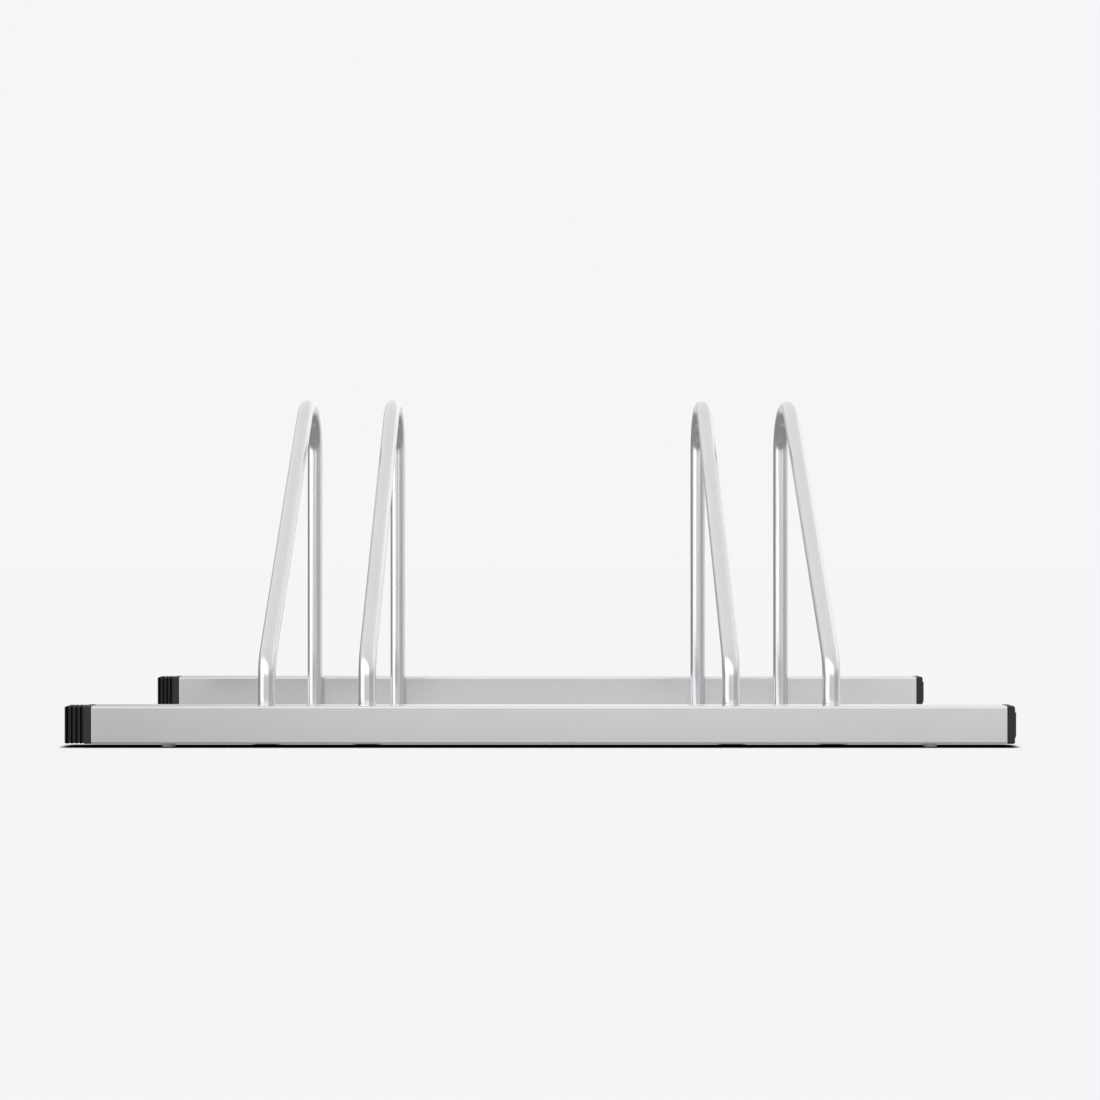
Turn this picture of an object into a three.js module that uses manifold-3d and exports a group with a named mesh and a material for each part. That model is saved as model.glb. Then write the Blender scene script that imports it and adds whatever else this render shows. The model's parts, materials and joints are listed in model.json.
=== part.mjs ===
// Floor rack for two bicycles: two rectangular bars on the floor, joined by four bent tube hoops.
// Each pair of hoops holds one wheel. Millimetres; X along the bars, Y front to back, Z up.
import * as THREE from 'three';
import { mergeVertices } from 'three/addons/utils/BufferGeometryUtils.js';
import Module from 'manifold-3d';

const wasm = await Module();
wasm.setup();

// Gap kept between two pieces that rest on each other
const seatGap = 0.3;
// How far a cutting tool runs past the face that it cuts
const cutOverrun = 1;

// Bars
const barLength = 963;
const barWidth = 25;
const barHeight = 40;
const barWall = 1.5;
const barCorner = 2.2;
const cornerLeast = 0.5;
const frameDepth = 441;
const barLift = 3.5;

// Hoops
const tubeDiameter = 19;
const tubeWall = 1.5;
const hoopHeight = 398.5;
const kneeHeight = 88;
const kneeRadius = 40;
const crownRadius = 55;
const placePitch = 497;
const pairPitch = 107.5;

// Plugs in the lower ends of the hoop legs
const legPlugFlange = 3;
const legPlugStem = 14;
const legPlugWall = 2;
const legPlugChamfer = 0.6;

// Weld beads beside each leg
const weldLength = 26;
const weldReachShare = 0.8;
const weldRootShare = 0.42;

// Glides pressed into the underside of the bars
const glideDiameter = 15;
const glideChamfer = 0.8;
const glideStemDiameter = 7;
const glideStemLength = 9;
const glideInset = 79;

// Joiners at the left ends of the bars
const collarLength = 7.2;
const ribCount = 4;
const ribPitch = 4.75;
const ribGroove = 1.6;
const ribInset = 0.5;
const ribDepth = 1.3;
const ribRound = 0.5;
const endRibExtra = 1.5;
const ribEndRound = 1.5;

// Caps at the right ends of the bars, with a soft edge and a raised grip across the middle of the outer face.
// The grip stops short of the top and bottom by its margin, and rises to its full height over its shoulder
const capLength = 9.5;
const capEdgeRound = 2;
const capGripRise = 1.7;
const capGripInset = 2.4;
const capGripSlope = 1.1;
const capGripMargin = 2.1;
const capGripShoulder = 2.8;

// Ribbed shanks that hold the joiners and caps inside the bars
const shankLength = 32;
const shankRibCount = 5;
const shankRibWidth = 1.6;
const shankRibDepth = 2;
const shankTaper = 1;
const shankPlay = 0.35;
const shankShellWall = 2.4;

// Smoothness of round shapes. A full ring has twice as many sides as its curve segments
const tubeSides = 16;
const smallRoundSides = 16;
const kneeSteps = 4;
const crownSteps = 11;
const cornerSteps = 2;
const roundSteps = 3;
const weldArcDivisions = 2;

// Sizes and places worked out from the values above
const joinerReach = seatGap + collarLength + ribCount * ribPitch + endRibExtra;
const capReach = seatGap + capLength;
const barMiddleX = (joinerReach - capReach) / 2;
const barLeftX = barMiddleX - barLength / 2;
const barRightX = barMiddleX + barLength / 2;
const barMiddleZ = barLift + barHeight / 2;
const barRows = [
  { side: 'front', y: -(frameDepth - barWidth) / 2, inward: 1 },
  { side: 'rear', y: (frameDepth - barWidth) / 2, inward: -1 },
];
const tubeRadius = tubeDiameter / 2;
const legY = frameDepth / 2 - barWidth - seatGap - tubeRadius;
const hoopXs = [-placePitch, placePitch].flatMap((place) => [
  barMiddleX + (place - pairPitch) / 2,
  barMiddleX + (place + pairPitch) / 2,
]);

const silver = new THREE.MeshStandardMaterial({ color: 0xc3c4c6, roughness: 0.42, metalness: 0.7 });
const blackPlastic = new THREE.MeshStandardMaterial({ color: 0x232324, roughness: 0.55, metalness: 0 });
const greyPlastic = new THREE.MeshStandardMaterial({ color: 0xb9babc, roughness: 0.6, metalness: 0 });

const rack = new THREE.Group();

function addPiece(name, geometry, material, x = 0, y = 0, z = 0) {
  const mesh = new THREE.Mesh(geometry, material);
  mesh.name = name;
  mesh.position.set(x, y, z);
  rack.add(mesh);
  return mesh;
}

// Boolean cuts and joins

function toSolid(geometry) {
  const bare = geometry.clone();
  bare.deleteAttribute('normal');
  bare.deleteAttribute('uv');
  const merged = mergeVertices(bare);
  const mesh = new wasm.Mesh({
    numProp: 3,
    vertProperties: new Float32Array(merged.attributes.position.array),
    triVerts: new Uint32Array(merged.index.array),
  });
  return new wasm.Manifold(mesh);
}

function toGeometry(solid) {
  const mesh = solid.getMesh();
  const geometry = new THREE.BufferGeometry();
  geometry.setAttribute('position', new THREE.BufferAttribute(new Float32Array(mesh.vertProperties), 3));
  geometry.setIndex(new THREE.BufferAttribute(new Uint32Array(mesh.triVerts), 1));
  geometry.computeVertexNormals();
  return geometry;
}

function cutAway(body, tools) {
  return toGeometry(tools.reduce((solid, tool) => solid.subtract(toSolid(tool)), toSolid(body)));
}

// Rectangle with rounded corners, centred on zero
function roundedRectangle(width, height, radius) {
  const w = width / 2;
  const h = height / 2;
  const shape = new THREE.Shape();
  shape.moveTo(w, h - radius);
  shape.absarc(w - radius, h - radius, radius, 0, Math.PI / 2);
  shape.absarc(radius - w, h - radius, radius, Math.PI / 2, Math.PI);
  shape.absarc(radius - w, radius - h, radius, Math.PI, Math.PI * 1.5);
  shape.absarc(w - radius, radius - h, radius, Math.PI * 1.5, Math.PI * 2);
  return shape;
}

// Turns a geometry drawn in the XY plane and raised along Z so that it lies in YZ and runs along X
function layAlongX(geometry) {
  return geometry.applyMatrix4(new THREE.Matrix4().makeBasis(
    new THREE.Vector3(0, 1, 0), new THREE.Vector3(0, 0, 1), new THREE.Vector3(1, 0, 0)));
}

// Closed skin over rounded rectangles set along X. Each section is { x, inset, margin }: the inset is
// measured from the outline of the bar, the margin is taken off its top and bottom as well, and its corners
// are round as far as the inset leaves room
function skinAlongX(sections) {
  const points = [];
  const faces = [];
  const ringSize = 4 * (cornerSteps + 1);
  for (const { x, inset, margin = 0 } of sections) {
    const corner = Math.max(barCorner - inset, cornerLeast);
    for (let quarter = 0; quarter < 4; quarter += 1) {
      const signY = quarter === 0 || quarter === 3 ? 1 : -1;
      const signZ = quarter < 2 ? 1 : -1;
      for (let step = 0; step <= cornerSteps; step += 1) {
        const angle = (quarter + step / cornerSteps) * Math.PI / 2;
        const y = signY * (barWidth / 2 - inset - corner) + corner * Math.cos(angle);
        const z = signZ * (barHeight / 2 - inset - margin - corner) + corner * Math.sin(angle);
        points.push(x, y, z);
      }
    }
  }
  for (let row = 1; row < sections.length; row += 1) {
    const low = (row - 1) * ringSize;
    const high = row * ringSize;
    for (let i = 0; i < ringSize; i += 1) {
      const next = (i + 1) % ringSize;
      faces.push(low + i, low + next, high + next, low + i, high + next, high + i);
    }
  }
  const last = (sections.length - 1) * ringSize;
  for (let i = 1; i < ringSize - 1; i += 1) {
    faces.push(0, i + 1, i, last, last + i, last + i + 1);
  }
  const geometry = new THREE.BufferGeometry();
  geometry.setAttribute('position', new THREE.Float32BufferAttribute(points, 3));
  geometry.setIndex(faces);
  return geometry;
}

// Bars

function glideOffsets() {
  return [glideInset - barLength / 2, barLength / 2 - glideInset];
}

function barGeometry() {
  const outline = roundedRectangle(barWidth, barHeight, barCorner);
  const innerCorner = Math.max(barCorner - barWall, cornerLeast);
  outline.holes.push(roundedRectangle(barWidth - 2 * barWall, barHeight - 2 * barWall, innerCorner));
  const tube = layAlongX(new THREE.ExtrudeGeometry(outline,
    { depth: barLength, bevelEnabled: false, curveSegments: cornerSteps / 2 }));
  tube.translate(-barLength / 2, 0, 0);
  const drillRadius = glideStemDiameter / 2 + seatGap;
  const drillDepth = barWall + 2 * cutOverrun;
  const drills = glideOffsets().map((offset) => {
    const drill = new THREE.CylinderGeometry(drillRadius, drillRadius, drillDepth, smallRoundSides);
    drill.rotateX(Math.PI / 2);
    drill.translate(offset, 0, (barWall - barHeight) / 2);
    return drill;
  });
  return cutAway(tube, drills);
}

for (const { side, y } of barRows) {
  addPiece(`${side}_bar`, barGeometry(), silver, barMiddleX, y, barMiddleZ);
}

// Hoops

// The middle line of a hoop in its own plane, with a station at each end of a straight run and along arcs
class HoopLine extends THREE.Curve {
  constructor(stations) {
    super();
    this.stations = stations;
  }

  getUtoTmapping(u) {
    return u;
  }

  getPoint(t, target = new THREE.Vector3()) {
    const place = THREE.MathUtils.clamp(t, 0, 1) * (this.stations.length - 1);
    const index = Math.min(Math.floor(place), this.stations.length - 2);
    return target.copy(this.stations[index].point).lerp(this.stations[index + 1].point, place - index);
  }

  getTangent(t, target = new THREE.Vector3()) {
    const index = Math.round(THREE.MathUtils.clamp(t, 0, 1) * (this.stations.length - 1));
    return target.copy(this.stations[index].tangent);
  }
}

function hoopStations() {
  const foot = legPlugFlange + seatGap;
  const crownY = legY - crownRadius;
  const crownZ = hoopHeight - tubeRadius - crownRadius;
  const runY = crownY + legY;
  const runZ = crownZ - kneeHeight;
  const slant = Math.atan2(runZ, runY) + Math.asin(crownRadius / Math.hypot(runY, runZ));
  const kneeTurn = Math.PI / 2 - slant;
  const kneeY = kneeRadius - legY;
  const kneeZ = kneeHeight - kneeRadius * Math.tan(kneeTurn / 2);
  const stations = [];
  const add = (y, z, heading) => stations.push({
    point: new THREE.Vector3(0, y, z),
    tangent: new THREE.Vector3(0, Math.cos(heading), Math.sin(heading)),
  });
  const addArc = (centreY, centreZ, radius, from, to, steps) => {
    for (let step = 0; step <= steps; step += 1) {
      const heading = THREE.MathUtils.lerp(from, to, step / steps);
      add(centreY - radius * Math.sin(heading), centreZ + radius * Math.cos(heading), heading);
    }
  };
  add(-legY, foot, Math.PI / 2);
  addArc(kneeY, kneeZ, kneeRadius, Math.PI / 2, slant, kneeSteps);
  addArc(crownY, crownZ, crownRadius, slant, -Math.PI / 2, crownSteps);
  add(legY, foot, -Math.PI / 2);
  return stations;
}

function hoopGeometry() {
  const stations = hoopStations();
  const ring = new THREE.Shape();
  ring.absarc(0, 0, tubeRadius, 0, Math.PI * 2);
  const bore = new THREE.Path();
  bore.absarc(0, 0, tubeRadius - tubeWall, 0, Math.PI * 2);
  ring.holes.push(bore);
  return new THREE.ExtrudeGeometry(ring, {
    steps: stations.length - 1,
    extrudePath: new HoopLine(stations),
    curveSegments: tubeSides / 2,
  });
}

hoopXs.forEach((x, i) => addPiece(`hoop_${i + 1}`, hoopGeometry(), silver, x));

// Leg plugs

function legPlugGeometry() {
  const stemRadius = tubeRadius - tubeWall - seatGap;
  const boreRadius = stemRadius - legPlugWall;
  const top = legPlugFlange + legPlugStem;
  const profile = [
    [0, 0],
    [tubeRadius - legPlugChamfer, 0],
    [tubeRadius, legPlugChamfer],
    [tubeRadius, legPlugFlange],
    [stemRadius, legPlugFlange],
    [stemRadius, top - legPlugChamfer],
    [stemRadius - legPlugChamfer, top],
    [boreRadius, top],
    [boreRadius, legPlugFlange],
    [0, legPlugFlange],
  ];
  const geometry = new THREE.LatheGeometry(profile.map(([x, y]) => new THREE.Vector2(x, y)), tubeSides);
  return geometry.rotateX(Math.PI / 2);
}

hoopXs.forEach((x, i) => {
  for (const { side, inward } of barRows) {
    addPiece(`hoop_${i + 1}_${side}_leg_plug`, legPlugGeometry(), blackPlastic, x, -inward * legY, 0);
  }
});

// Weld beads in the two grooves between each leg and the inner face of its bar

// Drawn in plan with the leg's axis at zero and the bar on the side of positive y. The flat back keeps
// the seat gap to the bar, and the hollow side keeps it to the leg
function weldGeometry(sideways) {
  const back = tubeRadius;
  const seatRadius = tubeRadius + seatGap;
  const root = Math.asin(weldRootShare);
  const reach = Math.asin(weldReachShare);
  const outline = new THREE.Shape();
  outline.moveTo(seatRadius * Math.sin(root), back);
  outline.lineTo(seatRadius * Math.sin(root), seatRadius * Math.cos(root));
  outline.absarc(0, 0, seatRadius, Math.PI / 2 - root, Math.PI / 2 - reach, true);
  outline.lineTo(seatRadius * Math.sin(reach), back);
  const bead = new THREE.ExtrudeGeometry(outline,
    { depth: weldLength, bevelEnabled: false, curveSegments: weldArcDivisions });
  if (sideways < 0) {
    bead.rotateY(Math.PI);
    bead.translate(0, 0, weldLength);
  }
  return bead;
}

hoopXs.forEach((x, i) => {
  const bottom = barMiddleZ - weldLength / 2;
  for (const { side, inward } of barRows) {
    for (const [hand, sideways] of [['left', -1], ['right', 1]]) {
      const bead = weldGeometry(sideways * -inward);
      if (inward > 0) {
        bead.rotateZ(Math.PI);
      }
      addPiece(`hoop_${i + 1}_${side}_weld_${hand}`, bead, silver, x, -inward * legY, bottom);
    }
  }
});

// Glides under the bars

function glideGeometry() {
  const radius = glideDiameter / 2;
  const stemRadius = glideStemDiameter / 2;
  const head = barLift - seatGap;
  const top = head + glideStemLength;
  const profile = [
    [0, 0],
    [radius - glideChamfer, 0],
    [radius, glideChamfer],
    [radius, head],
    [stemRadius, head],
    [stemRadius, top - glideChamfer],
    [stemRadius - glideChamfer, top],
    [0, top],
  ];
  const geometry = new THREE.LatheGeometry(profile.map(([x, y]) => new THREE.Vector2(x, y)), smallRoundSides);
  return geometry.rotateX(Math.PI / 2);
}

for (const { side, y } of barRows) {
  glideOffsets().forEach((offset, i) => {
    addPiece(`${side}_glide_${i + 1}`, glideGeometry(), greyPlastic, barMiddleX + offset, y, 0);
  });
}

// Joiners and caps. Both are drawn with the bar's end at x = 0, the shank inside the bar at negative x
// and the head outside it at positive x

const shankInset = barWall + shankPlay;
const shankCoreInset = shankInset + shankRibDepth;

function shankSections() {
  const pitch = (shankLength + seatGap) / shankRibCount;
  const sections = [];
  for (let rib = 0; rib < shankRibCount; rib += 1) {
    const start = rib * pitch - shankLength;
    const tipTaper = rib === 0 ? shankTaper : 0;
    sections.push({ x: start, inset: shankInset + tipTaper });
    sections.push({ x: start + shankRibWidth, inset: shankInset });
    sections.push({ x: start + shankRibWidth, inset: shankCoreInset });
    sections.push({ x: start + pitch, inset: shankCoreInset });
  }
  return sections;
}

// Sections of a rounded outer edge that ends at x = end, on an outline that is already inset
function roundedEdge(end, inset, radius) {
  const sections = [];
  for (let step = 0; step <= roundSteps; step += 1) {
    const angle = step / roundSteps * Math.PI / 2;
    sections.push({
      x: end - radius + radius * Math.sin(angle),
      inset: inset + radius - radius * Math.cos(angle),
    });
  }
  return sections;
}

function joinerHead() {
  const collarEnd = seatGap + collarLength;
  const grooveInset = ribInset + ribDepth;
  const sections = [{ x: seatGap, inset: 0 }, { x: collarEnd, inset: 0 }];
  for (let rib = 0; rib < ribCount; rib += 1) {
    const start = collarEnd + rib * ribPitch;
    const crest = start + ribGroove;
    const end = start + ribPitch;
    sections.push({ x: start, inset: grooveInset });
    sections.push({ x: crest, inset: grooveInset });
    sections.push({ x: crest, inset: ribInset + ribRound });
    sections.push({ x: crest + ribRound, inset: ribInset });
    if (rib === ribCount - 1) {
      sections.push(...roundedEdge(end + endRibExtra, ribInset, ribEndRound));
    } else {
      sections.push({ x: end - ribRound, inset: ribInset });
      sections.push({ x: end, inset: ribInset + ribRound });
    }
  }
  return sections;
}

function capHead() {
  const end = seatGap + capLength;
  return [
    { x: seatGap, inset: 0 },
    ...roundedEdge(end - capGripRise, 0, capEdgeRound),
    { x: end - capGripRise, inset: capGripInset, margin: capGripMargin },
    { x: end, inset: capGripInset + capGripSlope, margin: capGripMargin + capGripShoulder },
  ];
}

// Blind pocket that makes the shank a shell, open at its tip
function shankPocket() {
  const inset = shankCoreInset + shankShellWall;
  return skinAlongX([{ x: -shankLength - cutOverrun, inset }, { x: -shankShellWall, inset }]);
}

for (const { side, y } of barRows) {
  const joiner = cutAway(skinAlongX([...shankSections(), ...joinerHead()]), [shankPocket()]);
  joiner.rotateZ(Math.PI);
  addPiece(`${side}_joiner`, joiner, blackPlastic, barLeftX, y, barMiddleZ);
  const cap = cutAway(skinAlongX([...shankSections(), ...capHead()]), [shankPocket()]);
  addPiece(`${side}_end_cap`, cap, blackPlastic, barRightX, y, barMiddleZ);
}

export default rack;
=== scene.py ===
import json
import math

import bmesh
import bpy
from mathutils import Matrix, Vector


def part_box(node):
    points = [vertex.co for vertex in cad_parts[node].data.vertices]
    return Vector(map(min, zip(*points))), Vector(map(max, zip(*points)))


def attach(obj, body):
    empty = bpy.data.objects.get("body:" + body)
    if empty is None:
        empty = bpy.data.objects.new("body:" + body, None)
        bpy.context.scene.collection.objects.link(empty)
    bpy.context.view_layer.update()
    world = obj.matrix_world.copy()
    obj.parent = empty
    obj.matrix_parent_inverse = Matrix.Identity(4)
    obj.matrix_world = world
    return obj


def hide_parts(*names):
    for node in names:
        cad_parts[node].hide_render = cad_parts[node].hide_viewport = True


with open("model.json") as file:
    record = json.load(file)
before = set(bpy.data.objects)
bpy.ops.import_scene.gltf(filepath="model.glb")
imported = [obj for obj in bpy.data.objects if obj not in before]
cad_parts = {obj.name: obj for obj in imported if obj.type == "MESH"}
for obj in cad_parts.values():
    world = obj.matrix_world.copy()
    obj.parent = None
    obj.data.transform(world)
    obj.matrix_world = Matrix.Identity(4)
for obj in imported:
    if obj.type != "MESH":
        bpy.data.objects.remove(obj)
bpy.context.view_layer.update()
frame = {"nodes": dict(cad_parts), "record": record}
print("frame loaded,", len(frame["nodes"]), "pieces")

mm = 0.001  # sizes are real ones, written in millimetres
bodyOfNode = {n: body for body, names in frame["record"]["behaviour"]["bodies"].items() for n in names}


# Camera: level, straight in front of the rack, at half its height
camera = {
    "place": (0.9 * mm, -1934.1 * mm, 200.4 * mm),
    "tilt": 90,  # degrees; level
    "sensor": 36.0,
    "lens": 53.41,
    "pictureSide": 1100,  # pixels
    "axisPixel": (541.5, 556.7),  # where the axis of the lens meets the picture
}


def makeCamera():
    data = bpy.data.cameras.new("photoCamera")
    data.sensor_width = camera["sensor"]
    data.lens = camera["lens"]
    middle = camera["pictureSide"] / 2
    data.shift_x = (middle - camera["axisPixel"][0]) / camera["pictureSide"]
    data.shift_y = (camera["axisPixel"][1] - middle) / camera["pictureSide"]
    viewer = bpy.data.objects.new("photoCamera", data)
    viewer.location = camera["place"]
    viewer.rotation_euler = (math.radians(camera["tilt"]), 0, 0)
    bpy.context.scene.collection.objects.link(viewer)
    bpy.context.scene.camera = viewer
    bpy.context.scene.view_settings.view_transform = "Standard"


makeCamera()
print("camera set")


# Node and colour helpers
def linear(hexColour):
    channels = [int(hexColour[i:i + 2], 16) / 255 for i in (1, 3, 5)]
    return [c / 12.92 if c <= 0.04045 else ((c + 0.055) / 1.055) ** 2.4 for c in channels] + [1.0]


def addNode(tree, kind, settings=None, links=None):
    node = tree.nodes.new(kind)
    for key, value in (settings or {}).items():
        if isinstance(key, str) and hasattr(node, key):
            setattr(node, key, value)
        else:
            node.inputs[key].default_value = value
    for key, socket in (links or {}).items():
        tree.links.new(socket, node.inputs[key])
    return node


# Studio: an even room of light with soft boxes and dark flags, painted on the world by direction. Each is an
# upright rectangle that faces the rack. Angles are degrees: turn 0 is behind the camera and 90 on the right
# of the rack, half is half its width, low and high are its lower and upper edge as seen in its middle, and
# soft is how wide the edges fade. A later one covers those before it
studio = {
    "backdrop": "#f6f6f8",
    "floorSide": 60.0,  # metres
    "room": (0.73, 0.94),  # in front of the rack and behind it
    "below": 0.26,  # what shiny faces see under the horizon
    "horizon": (-10, -4),  # heights where below turns into room
    "boxes": {
        "backWall": {"turn": 150, "half": 60, "low": -16, "high": 30, "soft": 18, "light": 0.80},
        "backGlow": {"turn": 134, "half": 51, "low": 9, "high": 41, "soft": 5, "light": 1.08},
        "backLeftFlag": {"turn": -125, "half": 38, "low": -16, "high": 14, "soft": 13, "light": 0.26},
        "frontWall": {"turn": 10, "half": 60, "low": -8.5, "high": 5.5, "soft": 2.5, "light": 0.75},
        "rightFlag": {"turn": 62, "half": 30, "low": -9, "high": 9, "soft": 11, "light": 0.42},
        "highKey": {"turn": -32, "half": 56, "low": 7, "high": 38, "soft": 3.5, "light": 1.50},
        "leftKey": {"turn": -57, "half": 24, "low": -7.5, "high": 20, "soft": 3, "light": 1.50},
    },
}
# The floor is painted so evenly bright that it meets the backdrop without a line; only what stands close
# over it darkens it, as a painted contact shadow
floorPaint = {
    "ownLight": 0.92,  # share of its brightness that doesn't depend on the studio's light
    "matte": 0.96,
    "contactReach": 9 * mm,
    "contactPower": 6.5,
    "contactSamples": 16,
}


def softBox(tree, way, height, light, name, box):
    # The light from each direction once this box stands before what was there
    turn = math.radians(box["turn"])
    axes = {
        "ahead": (math.sin(turn), -math.cos(turn), 0),
        "aside": (math.cos(turn), math.sin(turn), 0),
    }
    share = {}
    for key, axis in axes.items():
        dot = addNode(tree, "ShaderNodeVectorMath", {"operation": "DOT_PRODUCT", 1: axis}, {0: way})
        share[key] = dot.outputs["Value"]
    fronting = addNode(tree, "ShaderNodeMath", {"operation": "GREATER_THAN", 1: 0.0}, {0: share["ahead"]})
    flat = addNode(tree, "ShaderNodeMath", {"operation": "DIVIDE"}, {0: share["aside"], 1: share["ahead"]})
    side = addNode(tree, "ShaderNodeMath", {"operation": "ABSOLUTE"}, {0: flat.outputs[0]})
    up = addNode(tree, "ShaderNodeMath", {"operation": "DIVIDE"}, {0: height, 1: share["ahead"]})
    cover = fronting
    for edge, measure, outward in (("half", side, 1), ("low", up, -1), ("high", up, 1)):
        fade = addNode(tree, "ShaderNodeMapRange", {
            "label": name + " " + edge,
            "interpolation_type": "SMOOTHSTEP",
            "From Min": math.tan(math.radians(box[edge] + outward * box["soft"])),
            "From Max": math.tan(math.radians(box[edge] - outward * box["soft"])),
        }, {"Value": measure.outputs[0]})
        cover = addNode(tree, "ShaderNodeMath", {"operation": "MULTIPLY"}, {
            0: cover.outputs[0],
            1: fade.outputs[0],
        })
    return addNode(tree, "ShaderNodeMix", {3: box["light"]}, {0: cover.outputs[0], 2: light}).outputs[0]


def makeWorld():
    world = bpy.data.worlds.new("studio")
    bpy.context.scene.world = world
    world.use_nodes = True
    tree = world.node_tree
    tree.nodes.clear()
    way = addNode(tree, "ShaderNodeTexCoord").outputs["Generated"]
    parts = addNode(tree, "ShaderNodeSeparateXYZ", links={0: way})
    height = parts.outputs["Z"]
    room = addNode(tree, "ShaderNodeMapRange", {
        "From Min": -1.0,
        "To Min": studio["room"][0],
        "To Max": studio["room"][1],
    }, {"Value": parts.outputs["Y"]})
    light = addNode(tree, "ShaderNodeMapRange", {
        "interpolation_type": "SMOOTHSTEP",
        "From Min": math.sin(math.radians(studio["horizon"][0])),
        "From Max": math.sin(math.radians(studio["horizon"][1])),
        "To Min": studio["below"],
    }, {"Value": height, "To Max": room.outputs[0]}).outputs["Result"]
    for name, box in studio["boxes"].items():
        light = softBox(tree, way, height, light, name, box)
    lit = addNode(tree, "ShaderNodeBackground", {"Color": (1, 1, 1, 1)}, {"Strength": light})
    backdrop = addNode(tree, "ShaderNodeBackground", {"Color": linear(studio["backdrop"])})
    seen = addNode(tree, "ShaderNodeLightPath").outputs["Is Camera Ray"]
    both = addNode(tree, "ShaderNodeMixShader", links={0: seen, 1: lit.outputs[0], 2: backdrop.outputs[0]})
    addNode(tree, "ShaderNodeOutputWorld", links={"Surface": both.outputs[0]})


def makeFloor():
    half = studio["floorSide"] / 2
    mesh = bpy.data.meshes.new("studioFloor")
    corners = [(-half, -half, 0), (half, -half, 0), (half, half, 0), (-half, half, 0)]
    mesh.from_pydata(corners, [], [(0, 1, 2, 3)])
    paint = bpy.data.materials.new("matteFloorPaint")
    paint.use_nodes = True
    tree = paint.node_tree
    tree.nodes.clear()
    # Painted contact shadow: closeness to the rack darkens the floor's glow and its matte colour
    openness = addNode(tree, "ShaderNodeAmbientOcclusion", {
        "samples": floorPaint["contactSamples"],
        "Distance": floorPaint["contactReach"],
    })
    shade = addNode(tree, "ShaderNodeMath", {
        "operation": "POWER",
        1: floorPaint["contactPower"],
    }, {0: openness.outputs["AO"]})
    glow = addNode(tree, "ShaderNodeEmission", {"Color": linear(studio["backdrop"])}, {
        "Strength": shade.outputs[0],
    })
    grey = addNode(tree, "ShaderNodeMath", {"operation": "MULTIPLY", 1: floorPaint["matte"]}, {
        0: shade.outputs[0],
    })
    matte = addNode(tree, "ShaderNodeBsdfDiffuse", links={"Color": grey.outputs[0]})
    both = addNode(tree, "ShaderNodeMixShader", {0: floorPaint["ownLight"]}, {
        1: matte.outputs[0],
        2: glow.outputs[0],
    })
    addNode(tree, "ShaderNodeOutputMaterial", links={"Surface": both.outputs[0]})
    mesh.materials.append(paint)
    floor = bpy.data.objects.new("studioFloor", mesh)
    floor.visible_glossy = False
    bpy.context.scene.collection.objects.link(floor)


makeWorld()
makeFloor()
print("studio lit")


# Materials
def startMaterial(name, finish):
    material = bpy.data.materials.new(name)
    material.use_nodes = True
    tree = material.node_tree
    tree.nodes.clear()
    shader = addNode(tree, "ShaderNodeBsdfPrincipled", {
        "Metallic": finish["metallic"],
        "IOR": finish["ior"],
        "Specular IOR Level": finish["specular"],
        "Coat Weight": finish["coat"],
        "Coat Roughness": finish["coatRoughness"],
    })
    addNode(tree, "ShaderNodeOutputMaterial", links={"Surface": shader.outputs[0]})
    place = addNode(tree, "ShaderNodeTexCoord").outputs["Object"]
    return material, tree, shader, place


# Steel tube with a baked silver powder coat: aluminium flakes in a clear film, so a bright metal tone that
# glitters finely and mirrors lights with soft edges, over a faint orange peel
barCoat = {
    "colour": "#e9eaeb",
    "flakeColour": "#f1f1f3",
    "metallic": 0.9,
    "ior": 1.5,
    "specular": 0.5,
    "roughness": 0.22,
    "roughnessSpread": 0.05,
    "coat": 0.3,
    "coatRoughness": 0.08,
    "flake": 0.45 * mm,  # real flakes are near 0.05 mm; drawn coarser to show
    "flakeShare": 0.12,
    "peel": 2.4 * mm,
    "peelDepth": 0.005 * mm,
    "peelDetail": 2.0,
    "grain": 0.5 * mm,
    "grainDepth": 0.0015 * mm,
    "grainDetail": 1.0,
    "cloud": 90 * mm,
    "cloudSpread": 0.04,
    "cloudDetail": 3.0,
    "paintedEndShade": 0.15,  # painted shade: share of its brightness that the colour loses towards the joiners' end
    "paintedEndShadeFrom": -0.05,  # metres
    "paintedEndShadeTo": -0.5,
}
# The same coat on the bent tubes, laid thinner over bright steel: smoother, with clearer reflections, and
# without the painted end shade
tubeCoat = dict(barCoat, colour="#e6e7e9", flakeColour="#eeeef0", metallic=0.95, roughness=0.20,
                roughnessSpread=0.06, coat=0.25, coatRoughness=0.12, paintedEndShade=0.0)
# And over the weld beads, where it gathers in the ripples and dries duller
weldCoat = dict(barCoat, colour="#c2c3c5", roughness=0.46, peelDepth=0.03 * mm)


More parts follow.
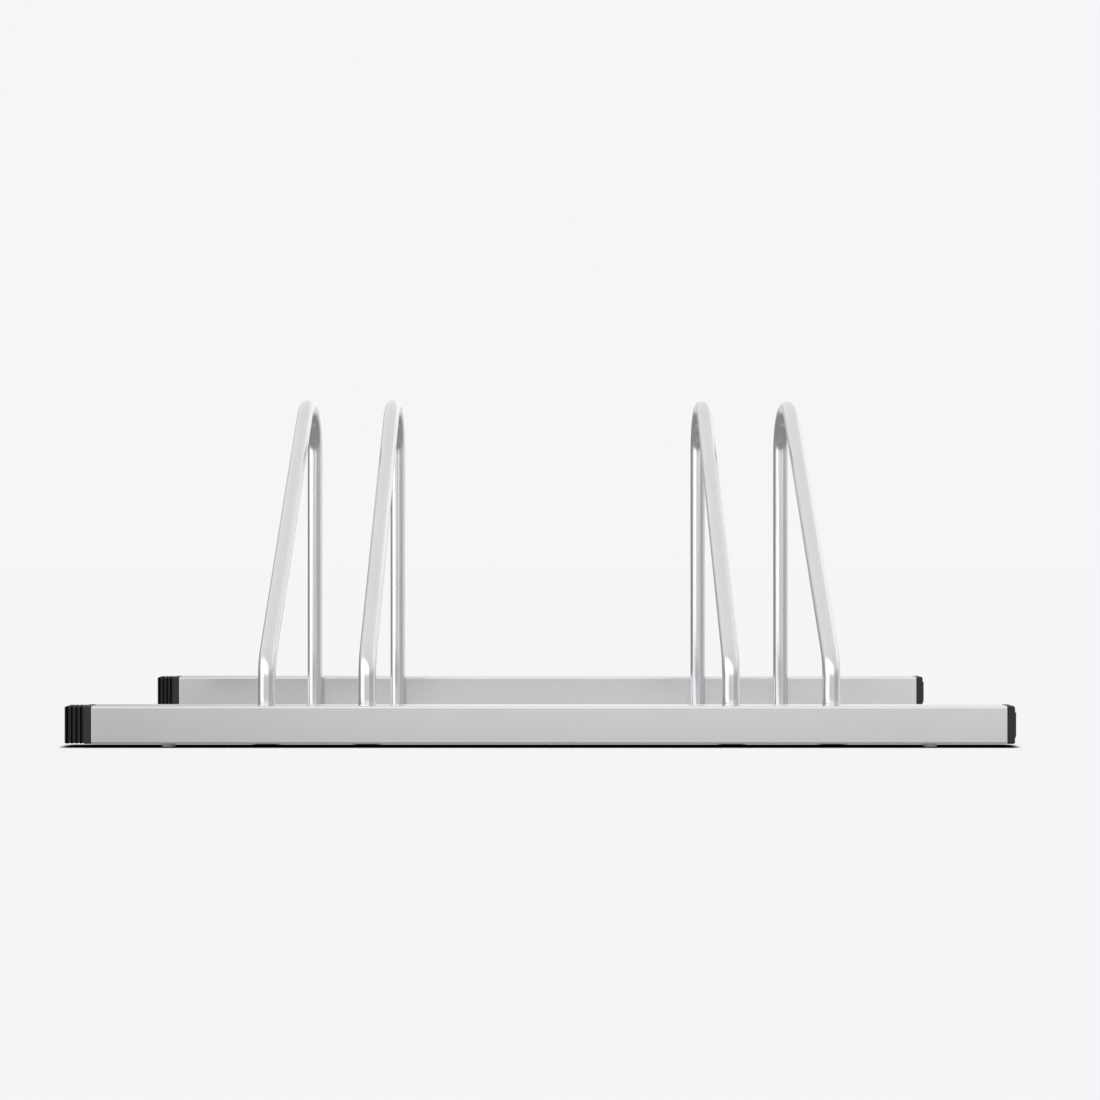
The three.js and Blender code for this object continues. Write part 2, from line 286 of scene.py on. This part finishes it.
def powderCoat(name, finish):
    material, tree, shader, place = startMaterial(name, finish)
    flakes = addNode(tree, "ShaderNodeTexVoronoi", {"Scale": 1 / finish["flake"]}, {"Vector": place})
    chance = addNode(tree, "ShaderNodeSeparateColor", links={0: flakes.outputs["Color"]})
    glint = addNode(tree, "ShaderNodeMapRange", {
        "From Min": 1 - finish["flakeShare"],
        "From Max": 1.0,
    }, {"Value": chance.outputs[0]})
    clouds = addNode(tree, "ShaderNodeTexNoise", {
        "Scale": 1 / finish["cloud"],
        "Detail": finish["cloudDetail"],
    }, {"Vector": place})
    cloud = addNode(tree, "ShaderNodeMapRange", {
        "To Min": 1 - finish["cloudSpread"],
        "To Max": 1 + finish["cloudSpread"],
    }, {"Value": clouds.outputs[0]})
    flecked = addNode(tree, "ShaderNodeMix", {
        "data_type": "RGBA",
        6: linear(finish["colour"]),
        7: linear(finish["flakeColour"]),
    }, {0: glint.outputs[0]})
    # Painted shade: the colour darkens smoothly along the bar towards the joiners' end
    along = addNode(tree, "ShaderNodeSeparateXYZ", links={0: place})
    paintedEndShadeRamp = addNode(tree, "ShaderNodeMapRange", {
        "interpolation_type": "SMOOTHSTEP",
        "From Min": finish["paintedEndShadeTo"],
        "From Max": finish["paintedEndShadeFrom"],
        "To Min": 1 - finish["paintedEndShade"],
    }, {"Value": along.outputs["X"]})
    tone = addNode(tree, "ShaderNodeMath", {"operation": "MULTIPLY"}, {
        0: cloud.outputs[0],
        1: paintedEndShadeRamp.outputs[0],
    })
    shaded = addNode(tree, "ShaderNodeVectorMath", {"operation": "SCALE"}, {
        0: flecked.outputs[2],
        "Scale": tone.outputs[0],
    })
    tree.links.new(shaded.outputs[0], shader.inputs["Base Color"])
    satin = addNode(tree, "ShaderNodeMapRange", {
        "To Min": finish["roughness"] - finish["roughnessSpread"] / 2,
        "To Max": finish["roughness"] + finish["roughnessSpread"] / 2,
    }, {"Value": chance.outputs[1]})
    tree.links.new(satin.outputs[0], shader.inputs["Roughness"])
    peel = addNode(tree, "ShaderNodeTexNoise", {
        "Scale": 1 / finish["peel"],
        "Detail": finish["peelDetail"],
    }, {"Vector": place})
    grain = addNode(tree, "ShaderNodeTexNoise", {
        "Scale": 1 / finish["grain"],
        "Detail": finish["grainDetail"],
    }, {"Vector": place})
    coarse = addNode(tree, "ShaderNodeBump", {"Distance": finish["peelDepth"]}, {"Height": peel.outputs[0]})
    fine = addNode(tree, "ShaderNodeBump", {"Distance": finish["grainDepth"]}, {
        "Height": grain.outputs[0],
        "Normal": coarse.outputs[0],
    })
    tree.links.new(fine.outputs[0], shader.inputs["Normal"])
    return material


# Black polypropylene, moulded in a spark-eroded tool: dull, with a fine even grain that scatters light
blackPlastic = {
    "colour": "#191919",
    "speckColour": "#232324",
    "metallic": 0.0,
    "ior": 1.49,
    "specular": 0.5,
    "roughness": 0.50,
    "roughnessSpread": 0.12,
    "coat": 0.0,
    "coatRoughness": 0.3,
    "grain": 0.8 * mm,
    "grainDepth": 0.05 * mm,
    "grainDetail": 3.0,
    "flow": 13.333 * mm,  # faint marks of how the melt ran
    "flowDetail": 2.0,
}
# The crests of the joiner's ribs: black like the rest, painted darker still and with almost no reflection, as
# painted shade
ribCrestBlackAndPaintedShade = dict(blackPlastic, colour="#020202", speckColour="#050505", specular=0.03, roughness=0.6)
# Light grey polyethylene of the glides: waxy and pale, with a faint uneven tint
greyPlastic = dict(blackPlastic, colour="#a9aaac", speckColour="#b8b9bb", ior=1.51, roughness=0.55)


def mouldedPlastic(name, finish):
    material, tree, shader, place = startMaterial(name, finish)
    grain = addNode(tree, "ShaderNodeTexNoise", {
        "Scale": 1 / finish["grain"],
        "Detail": finish["grainDetail"],
    }, {"Vector": place})
    flow = addNode(tree, "ShaderNodeTexNoise", {
        "Scale": 1 / finish["flow"],
        "Detail": finish["flowDetail"],
    }, {"Vector": place})
    tint = addNode(tree, "ShaderNodeMix", {
        "data_type": "RGBA",
        6: linear(finish["colour"]),
        7: linear(finish["speckColour"]),
    }, {0: flow.outputs[0]})
    tree.links.new(tint.outputs[2], shader.inputs["Base Color"])
    dull = addNode(tree, "ShaderNodeMapRange", {
        "To Min": finish["roughness"] - finish["roughnessSpread"] / 2,
        "To Max": finish["roughness"] + finish["roughnessSpread"] / 2,
    }, {"Value": grain.outputs[0]})
    tree.links.new(dull.outputs[0], shader.inputs["Roughness"])
    bump = addNode(tree, "ShaderNodeBump", {"Distance": finish["grainDepth"]}, {"Height": grain.outputs[0]})
    tree.links.new(bump.outputs[0], shader.inputs["Normal"])
    return material


silverBar = powderCoat("silverPowderCoat", barCoat)
silverTube = powderCoat("silverPowderCoatSmooth", tubeCoat)
silverWeld = powderCoat("silverPowderCoatOnWeld", weldCoat)
mouldedBlack = mouldedPlastic("mouldedBlackPolypropylene", blackPlastic)
# Black with painted shade, for the crests of the joiners' ribs
ribCrestBlackAndPaintedShadeMaterial = mouldedPlastic("ribCrestBlackWithPaintedShade", ribCrestBlackAndPaintedShade)
mouldedGrey = mouldedPlastic("mouldedGreyPolyethylene", greyPlastic)
print("materials made")


# Mesh helpers. An edge sharper than its crease stays an edge, and a softer one is shaded round
crease = {"plain": 35, "weld": 60}  # degrees


def skin(rings, loop=False, marks=None):
    # Closed mesh over rings with as many points each; marks gives each band's material
    size = len(rings[0])
    points = [point for ring in rings for point in ring]
    faces = []
    bands = len(rings) if loop else len(rings) - 1
    for band in range(bands):
        low = band * size
        high = (band + 1) % len(rings) * size
        for i in range(size):
            j = (i + 1) % size
            faces.append((low + i, low + j, high + j, high + i))
    if not loop:
        faces.append(tuple(range(size)))
        faces.append(tuple(range(bands * size, (bands + 1) * size)))
    mesh = bpy.data.meshes.new("skin")
    mesh.from_pydata(points, [], faces)
    for band, mark in enumerate(marks or []):
        for face in mesh.polygons[band * size:(band + 1) * size]:
            face.material_index = mark
    work = bmesh.new()
    work.from_mesh(mesh)
    bmesh.ops.recalc_face_normals(work, faces=work.faces)
    work.to_mesh(mesh)
    work.free()
    return mesh


def dress(node, mesh, materials, edge="plain"):
    # Puts a finished mesh in place of a node, on the node's body
    name = node + "_finished"
    mesh.name = name
    for material in materials:
        mesh.materials.append(material)
    mesh.shade_smooth()
    mesh.set_sharp_from_angle(angle=math.radians(crease[edge]))
    piece = bpy.data.objects.new(name, mesh)
    bpy.context.scene.collection.objects.link(piece)
    shading = piece.modifiers.new("evenShading", "WEIGHTED_NORMAL")
    shading.keep_sharp = True
    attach(piece, bodyOfNode[node])
    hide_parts(node)


def arc(start, end, steps):
    # Angles of a round stretch, both ends included
    return [start + (end - start) * step / steps for step in range(steps + 1)]


# Bars: rectangular steel tube, cut square with the edges broken
bar = {
    "wall": 1.5 * mm,
    "corner": 2.2 * mm,
    "cornerLeast": 0.5 * mm,
    "cornerSteps": 6,
    "cutRound": 1.0 * mm,
    "cutInnerRound": 0.3 * mm,
    "cutSteps": 4,
}


class BarSection:
    def __init__(self, node):
        low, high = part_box(node)
        self.left = low.x
        self.right = high.x
        self.middle = (low + high) / 2
        self.half = (high - low) / 2

    def ring(self, x, inset, margin=0):
        # The bar's outline across the bar at x, drawn in by inset, and by margin too at its top and bottom
        corner = max(bar["corner"] - inset, bar["cornerLeast"])
        points = []
        for quarter in range(4):
            signY = 1 if quarter in (0, 3) else -1
            signZ = 1 if quarter < 2 else -1
            for angle in arc(quarter * math.pi / 2, (quarter + 1) * math.pi / 2, bar["cornerSteps"]):
                y = signY * (self.half.y - inset - corner) + corner * math.cos(angle)
                z = signZ * (self.half.z - inset - margin - corner) + corner * math.sin(angle)
                points.append((x, self.middle.y + y, self.middle.z + z))
        return points


def barMesh(section):
    edges = []
    broken = bar["cutRound"]
    inner = bar["cutInnerRound"]
    for end, inward in ((section.left, 1), (section.right, -1)):
        outside = [(end + inward * broken * (1 - math.sin(a)), broken * (1 - math.cos(a)))
                   for a in arc(0, math.pi / 2, bar["cutSteps"])]
        inside = [(end + inward * inner * (1 - math.cos(a)), bar["wall"] - inner * (1 - math.sin(a)))
                  for a in arc(0, math.pi / 2, bar["cutSteps"])]
        edges.append([section.ring(x, inset) for x, inset in outside + inside])
    return skin(edges[0][::-1] + edges[1], loop=True)


barSections = {side: BarSection(side + "_bar") for side in ("front", "rear")}
for side, section in barSections.items():
    dress(side + "_bar", barMesh(section), [silverBar])
print("bars made")


# Hoops: one tube each, bent at the knee and over the crown
hoop = {
    "wall": 1.5 * mm,
    "kneeHeight": 88 * mm,
    "kneeRadius": 40 * mm,
    "crownRadius": 55 * mm,
    "sides": 48,
    "kneeSteps": 14,
    "crownSteps": 44,
    "endRound": 0.5 * mm,
    "endSteps": 3,
    "flattening": 0.025,  # share of the diameter that a bend takes from the tube across the bend
}


def hoopPath(node):
    # Stations along the middle line: place, direction and how much of a bend it is there
    low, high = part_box(node)
    radius = (high.x - low.x) / 2
    x = (low.x + high.x) / 2
    legY = high.y - radius
    crownY = legY - hoop["crownRadius"]
    crownZ = high.z - radius - hoop["crownRadius"]
    run = Vector((crownY + legY, crownZ - hoop["kneeHeight"]))
    slant = math.atan2(run.y, run.x) + math.asin(hoop["crownRadius"] / run.length)
    kneeZ = hoop["kneeHeight"] - hoop["kneeRadius"] * math.tan((math.pi / 2 - slant) / 2)
    stations = [(Vector((x, -legY, low.z)), math.pi / 2, 0)]
    bends = [
        (hoop["kneeRadius"] - legY, kneeZ, hoop["kneeRadius"], math.pi / 2, slant, hoop["kneeSteps"]),
        (crownY, crownZ, hoop["crownRadius"], slant, -math.pi / 2, hoop["crownSteps"]),
    ]
    for middleY, middleZ, bendRadius, start, end, steps in bends:
        for i, heading in enumerate(arc(start, end, steps)):
            y = middleY - bendRadius * math.sin(heading)
            z = middleZ + bendRadius * math.cos(heading)
            stations.append((Vector((x, y, z)), heading, math.sin(math.pi * i / steps)))
    stations.append((Vector((x, legY, low.z)), -math.pi / 2, 0))
    return stations, radius


def tubeRing(centre, heading, radius, flat=0.0):
    across = Vector((0, -math.sin(heading), math.cos(heading)))
    ring = []
    for side in range(hoop["sides"]):
        angle = 2 * math.pi * side / hoop["sides"]
        sideways = Vector((radius * math.cos(angle), 0, 0))
        ring.append(centre + sideways + across * radius * (1 - flat) * math.sin(angle))
    return ring


def footRings(station, radius, bore):
    # Rings round the cut foot of a leg, from its outer side to its bore
    centre, heading, bend = station
    edge = hoop["endRound"]
    rings = []
    for a in arc(0, math.pi / 2, hoop["endSteps"]):
        lifted = centre + Vector((0, 0, edge * (1 - math.sin(a))))
        rings.append(tubeRing(lifted, heading, radius - edge * (1 - math.cos(a))))
    rings.append(tubeRing(centre, heading, bore))
    return rings


def hoopMesh(node):
    stations, radius = hoopPath(node)
    bore = radius - hoop["wall"]
    line = stations[1:-1]
    outside = [tubeRing(centre, heading, radius, bend * hoop["flattening"]) for centre, heading, bend in line]
    inside = [tubeRing(centre, heading, bore, bend * hoop["flattening"]) for centre, heading, bend in line]
    rearFoot = footRings(stations[-1], radius, bore)
    frontFoot = footRings(stations[0], radius, bore)
    return skin(outside + rearFoot + inside[::-1] + frontFoot[::-1], loop=True)


hoopNames = ["hoop_1", "hoop_2", "hoop_3", "hoop_4"]
for name in hoopNames:
    dress(name, hoopMesh(name), [silverTube])
print("hoops made")


# Turned pieces: rings of one radius at one height, from the middle of the bottom to the middle of the top
turned = {"sides": 40, "edgeSteps": 4}


def turnedMesh(node, profile):
    low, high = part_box(node)
    middle = (low + high) / 2
    rings = []
    for radius, height in profile:
        rings.append([(middle.x + radius * math.cos(a), middle.y + radius * math.sin(a), low.z + height)
                      for a in arc(0, 2 * math.pi, turned["sides"])[:-1]])
    return skin(rings)


def roundedStep(radius, height, edge, rising):
    # The round between a side of this radius and a flat at this height; rising is where the flat comes first
    points = [(radius - edge * (1 - math.sin(a)), height + edge * (1 - math.cos(a)) * (1 if rising else -1))
              for a in arc(0, math.pi / 2, turned["edgeSteps"])]
    return points if rising else points[::-1]


# Feet: plugs pressed into the legs, with a flange as wide as the tube
foot = {
    "flange": 3 * mm,
    "flangeRound": 0.9 * mm,
    "topRound": 0.3 * mm,
    "stemPlay": 0.25 * mm,
    "stemRound": 1 * mm,
    "shell": 2 * mm,
}


def footMesh(node):
    low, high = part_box(node)
    radius = (high.x - low.x) / 2
    top = high.z - low.z
    stem = radius - hoop["wall"] - foot["stemPlay"]
    bore = stem - foot["shell"]
    profile = roundedStep(radius, 0, foot["flangeRound"], True)
    profile += roundedStep(radius, foot["flange"], foot["topRound"], False)
    profile += [(stem, foot["flange"])]
    profile += roundedStep(stem, top, foot["stemRound"], False)
    profile += [(bore, top), (bore, foot["flange"])]
    return turnedMesh(node, profile)


for name in hoopNames:
    for side in ("front", "rear"):
        plug = f"{name}_{side}_leg_plug"
        dress(plug, footMesh(plug), [mouldedBlack])

# Glides: round heads under the bars on stems pressed through the wall
glide = {
    "head": 3.2 * mm,
    "headRound": 1.1 * mm,
    "topRound": 0.3 * mm,
    "stemRadius": 3.5 * mm,
    "stemRound": 1 * mm,
}


def glideMesh(node):
    low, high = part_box(node)
    radius = (high.x - low.x) / 2
    profile = roundedStep(radius, 0, glide["headRound"], True)
    profile += roundedStep(radius, glide["head"], glide["topRound"], False)
    profile += [(glide["stemRadius"], glide["head"])]
    profile += roundedStep(glide["stemRadius"], high.z - low.z, glide["stemRound"], False)
    return turnedMesh(node, profile)


for side in ("front", "rear"):
    for i in (1, 2):
        pad = f"{side}_glide_{i}"
        dress(pad, glideMesh(pad), [mouldedGrey])
print("feet and glides made")


# Joiners and caps: a ribbed shank inside the bar, a head outside it. A section is how far it lies out of
# the bar's end, how far it is drawn in from the bar's outline, and 1 where the face that follows takes the
# rib crests' painted shade
shank = {
    "length": 32 * mm,
    "ribs": 5,
    "ribWidth": 1.6 * mm,
    "ribDepth": 2 * mm,
    "ribRound": 0.35 * mm,
    "tipTaper": 1 * mm,
    "play": 0.35 * mm,
    "shell": 2.4 * mm,
}
joiner = {
    "seat": 0.3 * mm,
    "collar": 7.2 * mm,
    "collarRound": 0.35 * mm,
    "ribs": 4,
    "ribPitch": 4.75 * mm,
    "groove": 1.6 * mm,
    "ribInset": 0.5 * mm,
    "ribDepth": 1.3 * mm,
    "ribRound": 0.5 * mm,
    "endRibExtra": 1.5 * mm,
    "endRound": 1.5 * mm,
}
cap = {
    "seat": 0.3 * mm,
    "length": 9.5 * mm,
    "seatRound": 0.35 * mm,
    "edgeRound": 2 * mm,
    "gripRise": 1.7 * mm,
    "gripInset": 2.4 * mm,
    "gripSlope": 1.1 * mm,
    "gripMargin": 2.1 * mm,
    "gripShoulder": 2.8 * mm,
    "gripSteps": 6,
}
roundSteps = 5  # faces round each small edge of these mouldings


def edgeOut(x, inset, radius):
    # Round where a side ends and turns in to a face that looks away from the bar
    return [(x - radius * (1 - math.sin(a)), inset + radius * (1 - math.cos(a)), 0)
            for a in arc(0, math.pi / 2, roundSteps)]


def edgeBack(x, inset, radius):
    # Round where a face that looks towards the bar turns into a side
    return [(x + radius * (1 - math.cos(a)), inset + radius * (1 - math.sin(a)), 0)
            for a in arc(0, math.pi / 2, roundSteps)]


def shankSections():
    outer = bar["wall"] + shank["play"]
    core = outer + shank["ribDepth"]
    pocket = core + shank["shell"]
    pitch = (shank["length"] + joiner["seat"]) / shank["ribs"]
    sections = [(-shank["shell"], pocket, 0), (-shank["length"], pocket, 0)]
    for rib in range(shank["ribs"]):
        start = rib * pitch - shank["length"]
        end = start + shank["ribWidth"]
        taper = shank["tipTaper"] if rib == 0 else 0
        if rib:
            sections.append((start, core, 0))
        sections += [(x, inset + taper, mark) for x, inset, mark in edgeBack(start, outer, shank["ribRound"])]
        sections += edgeOut(end, outer, shank["ribRound"])
        sections.append((end, core, 0))
    sections.append((joiner["seat"], core, 0))
    return sections


def joinerSections():
    collarEnd = joiner["seat"] + joiner["collar"]
    grooveInset = joiner["ribInset"] + joiner["ribDepth"]
    sections = edgeBack(joiner["seat"], 0, joiner["collarRound"])
    sections += edgeOut(collarEnd, 0, joiner["collarRound"])
    for rib in range(joiner["ribs"]):
        start = collarEnd + rib * joiner["ribPitch"]
        crest = start + joiner["groove"]
        last = rib == joiner["ribs"] - 1
        end = start + joiner["ribPitch"] + (joiner["endRibExtra"] if last else 0)
        sections += [(start, grooveInset, 0), (crest, grooveInset, 0)]
        sections += edgeBack(crest, joiner["ribInset"], joiner["ribRound"])
        # The crest face gets the near-black with painted shade
        sections[-1] = sections[-1][:2] + (1,)
        sections += edgeOut(end, joiner["ribInset"], joiner["endRound"] if last else joiner["ribRound"])
    return sections


def capSections():
    end = cap["seat"] + cap["length"]
    rim = end - cap["gripRise"]
    sections = edgeBack(cap["seat"], 0, cap["seatRound"])
    sections += edgeOut(rim, 0, cap["edgeRound"])
    for step in range(cap["gripSteps"] + 1):
        # The grip swells out of the rim and rounds over into its flat top
        share = step / cap["gripSteps"]
        rise = cap["gripRise"] * (1 - math.cos(share * math.pi)) / 2
        inset = cap["gripInset"] + cap["gripSlope"] * share
        margin = cap["gripMargin"] + cap["gripShoulder"] * share
        sections.append((rim + rise, inset, 0, margin))
    return sections


def endPieceMesh(section, end, outward, sections):
    rings = [section.ring(end + outward * x, inset, *margin) for x, inset, mark, *margin in sections]
    return skin(rings, marks=[mark for x, inset, mark, *margin in sections[:-1]])


for side, section in barSections.items():
    joinerBody = endPieceMesh(section, section.left, -1, shankSections() + joinerSections())
    # The second material is the rib crests' black with painted shade
    dress(side + "_joiner", joinerBody, [mouldedBlack, ribCrestBlackAndPaintedShadeMaterial])
    capBody = endPieceMesh(section, section.right, 1, shankSections() + capSections())
    dress(side + "_end_cap", capBody, [mouldedBlack])
print("joiners and caps made")


# Weld beads: a fillet in each groove between a leg and its bar, laid from bottom to top in ripples
weld = {
    "rootShare": 0.42,
    "reachShare": 0.8,
    "barReach": 0.9 * mm,  # how much wider the bead is on the bar than on the leg
    "bulge": 0.45 * mm,
    "ripplePitch": 1.7 * mm,
    "rippleDepth": 0.28 * mm,
    "rippleShape": 0.6,  # below 1 a ripple rises steeply and then flattens
    "rippleShift": 0.37,  # share of a ripple by which a bead starts later for each step of its number
    "crescentShare": 0.4,  # share of a ripple by which its middle runs ahead of its ends
    "tipShare": 0.35,  # how wide the bead is at its ends, of its full width
    "sink": 0.15 * mm,
    "seam": 0.3 * mm,  # gap between leg and bar that the bead fills
    "taper": 3 * mm,
    "step": 0.3 * mm,
    "acrossSteps": 8,
    "legSteps": 4,
}


def weldMesh(node, hoopName, side, hand, number):
    low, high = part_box(node)
    hoopLow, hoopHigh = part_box(hoopName)
    radius = (hoopHigh.x - hoopLow.x) / 2
    axis = Vector(((hoopLow.x + hoopHigh.x) / 2, (hoopHigh.y - radius) * side, 0))
    bury = radius - weld["sink"]
    face = radius + weld["seam"] + weld["sink"]
    root = math.asin(weld["rootShare"])
    reach = math.asin(weld["reachShare"])
    rings = []
    count = round((high.z - low.z) / weld["step"])
    for level in range(count + 1):
        height = low.z + (high.z - low.z) * level / count
        near = min(height - low.z, high.z - height) / weld["taper"]
        full = math.sqrt(max(0.0, 1 - (1 - min(near, 1)) ** 2))
        spread = root + (reach - root) * (weld["tipShare"] + (1 - weld["tipShare"]) * full)
        outline = [(bury * math.sin(a), bury * math.cos(a)) for a in arc(root, spread, weld["legSteps"])]
        start = Vector(outline[-1])
        end = Vector((radius * math.sin(spread) + weld["barReach"] * full, face))
        outwardWay = Vector((end.y - start.y, start.x - end.x)).normalized()
        for step in range(1, weld["acrossSteps"]):
            t = step / weld["acrossSteps"]
            arch = 4 * t * (1 - t)
            phase = (height - low.z) / weld["ripplePitch"] + weld["crescentShare"] * arch
            phase += number * weld["rippleShift"]
            ripple = weld["rippleDepth"] * (phase % 1.0) ** weld["rippleShape"]
            point = start.lerp(end, t) + outwardWay * full * arch * (weld["bulge"] + ripple)
            outline.append((point.x, point.y))
        outline += [(end.x, face), (radius * math.sin(root), face)]
        rings.append([(axis.x + hand * u, axis.y + side * v, height) for u, v in outline])
    return skin(rings)


for number, name in enumerate(hoopNames):
    for sideName, side in (("front", -1), ("rear", 1)):
        for handName, hand in (("left", -1), ("right", 1)):
            bead = f"{name}_{sideName}_weld_{handName}"
            beadMesh = weldMesh(bead, name, side, hand, number * 4 + side + hand)
            dress(bead, beadMesh, [silverWeld], edge="weld")
print("weld beads made")
